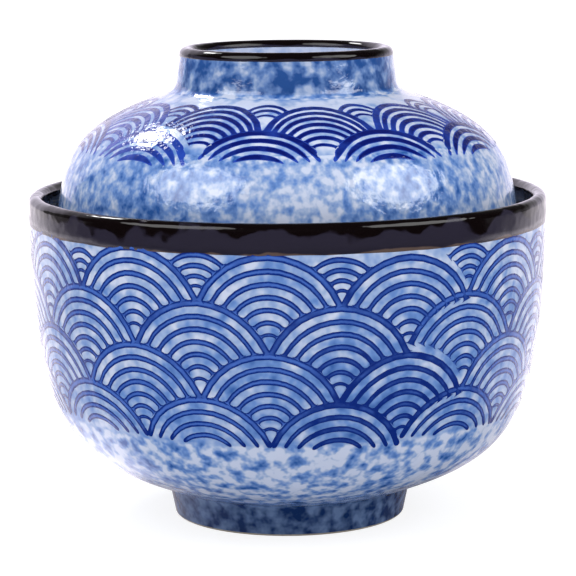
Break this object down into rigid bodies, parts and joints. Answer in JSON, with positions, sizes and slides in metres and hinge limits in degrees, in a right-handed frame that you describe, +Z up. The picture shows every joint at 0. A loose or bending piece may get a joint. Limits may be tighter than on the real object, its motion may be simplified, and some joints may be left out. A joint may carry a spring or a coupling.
{
  "type": "lidded soup bowl",
  "caption": "Deep footed ceramic soup bowl with a domed lid that drops into a seat inside the lip and lifts off by a ring-shaped knob.",
  "frame": {"origin": "centre of the foot ring, on the table", "axes": "+Z up along the axis that both pieces are turned about"},
  "size_m": [0.145, 0.145, 0.1323],
  "materials": {
    "bowl": "glossy mottled cobalt glaze with a dark iron lip",
    "lid": "glossy mottled cobalt glaze with a dark iron knob ring"
  },
  "bodies": {
    "bowl": {"bowl": "bowl"},
    "lid": {"lid": "lid"}
  },
  "joints": [
    {"name": "lid_lift", "type": "slide", "parent": "bowl", "child": "lid", "axis": [0, 0, 1], "range_m": [0, 0.08]}
  ]
}
